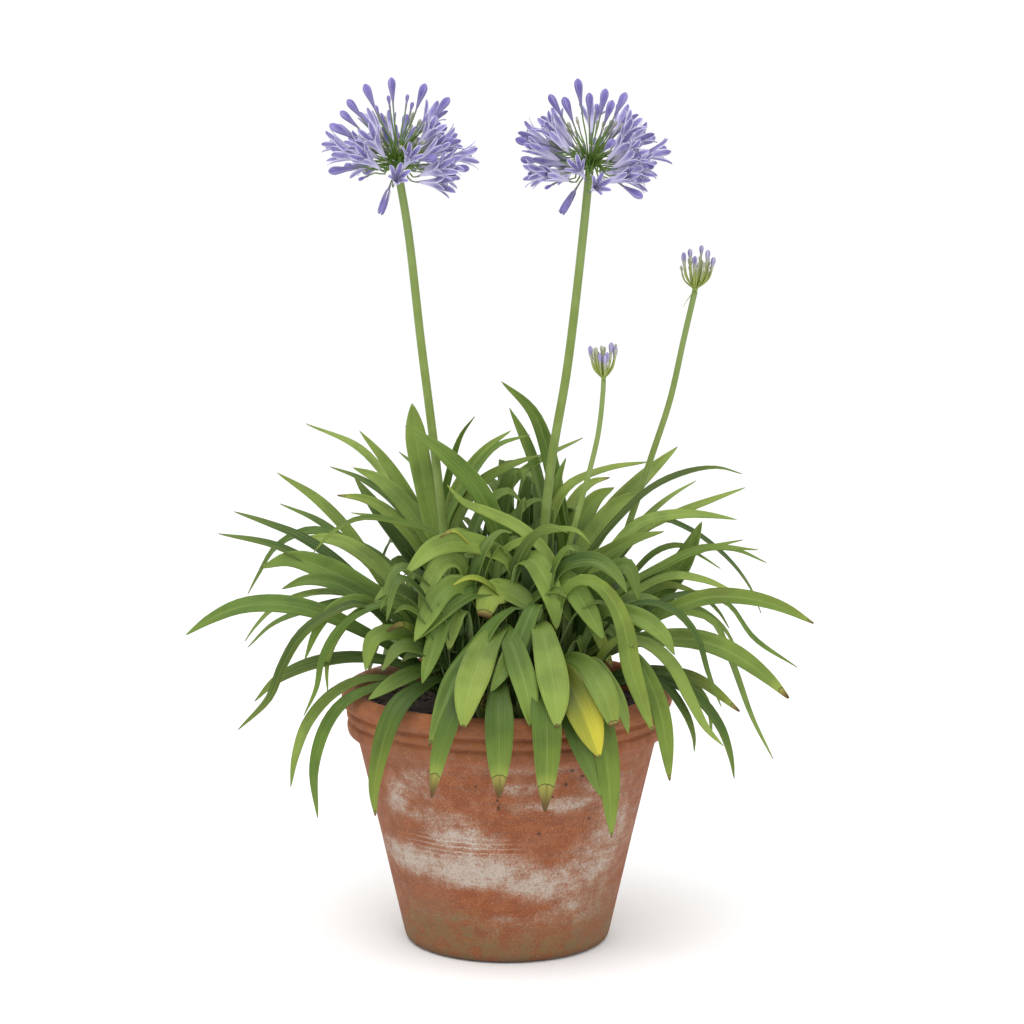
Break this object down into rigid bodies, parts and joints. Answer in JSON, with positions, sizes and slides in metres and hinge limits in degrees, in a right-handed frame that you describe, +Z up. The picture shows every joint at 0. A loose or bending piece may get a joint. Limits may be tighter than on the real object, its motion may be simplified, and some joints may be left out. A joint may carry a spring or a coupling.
{
  "type": "potted agapanthus plant",
  "caption": "Agapanthus in a terracotta pot: arching strap leaves in six crowns, open violet-blue umbels and young umbels in bud on bare stalks.",
  "frame": {"origin": "centre of the pot's flat underside", "axes": "+Z up along the pot's axis, -Y towards the plant's front, +X to the right seen from the front"},
  "size_m": [0.6197, 0.4726, 0.865],
  "materials": {
    "terracotta": "matte",
    "potting_mix": "matte",
    "leaf": "satin",
    "flower_stalk": "satin",
    "flowers": "matte",
    "buds": "matte"
  },
  "bodies": {
    "root": {"pot": "terracotta", "soil": "potting_mix", "leaf_fan_1": "leaf", "leaf_fan_2": "leaf", "leaf_fan_3": "leaf", "leaf_fan_4": "leaf", "leaf_fan_5": "leaf", "leaf_fan_6": "leaf", "scape_left": "flower_stalk", "scape_right": "flower_stalk", "scape_bud_tall": "flower_stalk", "scape_bud_short": "flower_stalk", "umbel_left": "flowers", "umbel_right": "flowers", "bud_umbel_tall": "buds", "bud_umbel_short": "buds"}
  },
  "joints": []
}
